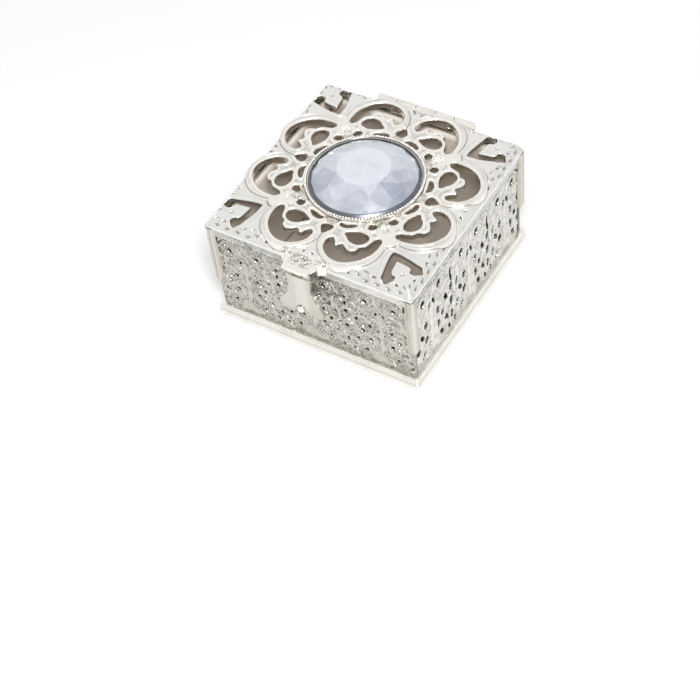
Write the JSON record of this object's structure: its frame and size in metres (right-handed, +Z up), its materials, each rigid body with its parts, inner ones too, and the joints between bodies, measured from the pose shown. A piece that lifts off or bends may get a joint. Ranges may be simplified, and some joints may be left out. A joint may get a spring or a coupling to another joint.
{
  "type": "keepsake box",
  "caption": "Square silver-plated keepsake box with pierced scroll sides, an openwork flower lid round a faceted pale blue stone, a back hinge and a front hasp over a stud.",
  "frame": {"origin": "centre of the underside of the base plate, on the surface that the box stands on", "axes": "+Z up through the stone, -Y to the front where the hasp hangs, +Y to the hinge, +X to the right seen from the front"},
  "size_m": [0.0512, 0.0568, 0.0329],
  "materials": {
    "silver_plate": "bright silver plate with soft wear",
    "filigree_silver": "cast scroll relief, silver plate with darker recesses",
    "taupe_lining": "short-napped fabric",
    "mirror_foil": "polished foil",
    "pale_blue_stone": "polished facets"
  },
  "bodies": {
    "case": {"base_plate": "silver_plate", "plinth_frame": "silver_plate", "front_panel": "filigree_silver", "back_panel": "filigree_silver", "left_panel": "filigree_silver", "right_panel": "filigree_silver", "front_rail": "filigree_silver", "back_rail": "filigree_silver", "left_rail": "filigree_silver", "right_rail": "filigree_silver", "front_left_post": "silver_plate", "front_right_post": "silver_plate", "back_left_post": "silver_plate", "back_right_post": "silver_plate", "catch_stud": "silver_plate", "case_hinge_strip": "silver_plate", "hinge_pin": "silver_plate", "floor_lining": "taupe_lining", "front_lining": "taupe_lining", "back_lining": "taupe_lining", "left_lining": "taupe_lining", "right_lining": "taupe_lining"},
    "lid": {"lid_plate": "silver_plate", "bezel_cup": "silver_plate", "beaded_ring": "silver_plate", "foil_disc": "mirror_foil", "crystal": "pale_blue_stone", "lid_hinge_strip": "silver_plate", "clasp_lug": "silver_plate", "clasp_pin": "silver_plate"},
    "hasp": {"clasp_hasp": "silver_plate"}
  },
  "joints": [
    {"name": "lid_hinge", "type": "hinge", "parent": "case", "child": "lid", "pos_m": [0, 0.0265, 0.02675], "axis": [-1, 0, 0], "range_deg": [0, 100]},
    {"name": "hasp_hinge", "type": "hinge", "parent": "lid", "child": "hasp", "pos_m": [0, -0.0276, 0.0271], "axis": [-1, 0, 0], "range_deg": [0, 90]}
  ]
}
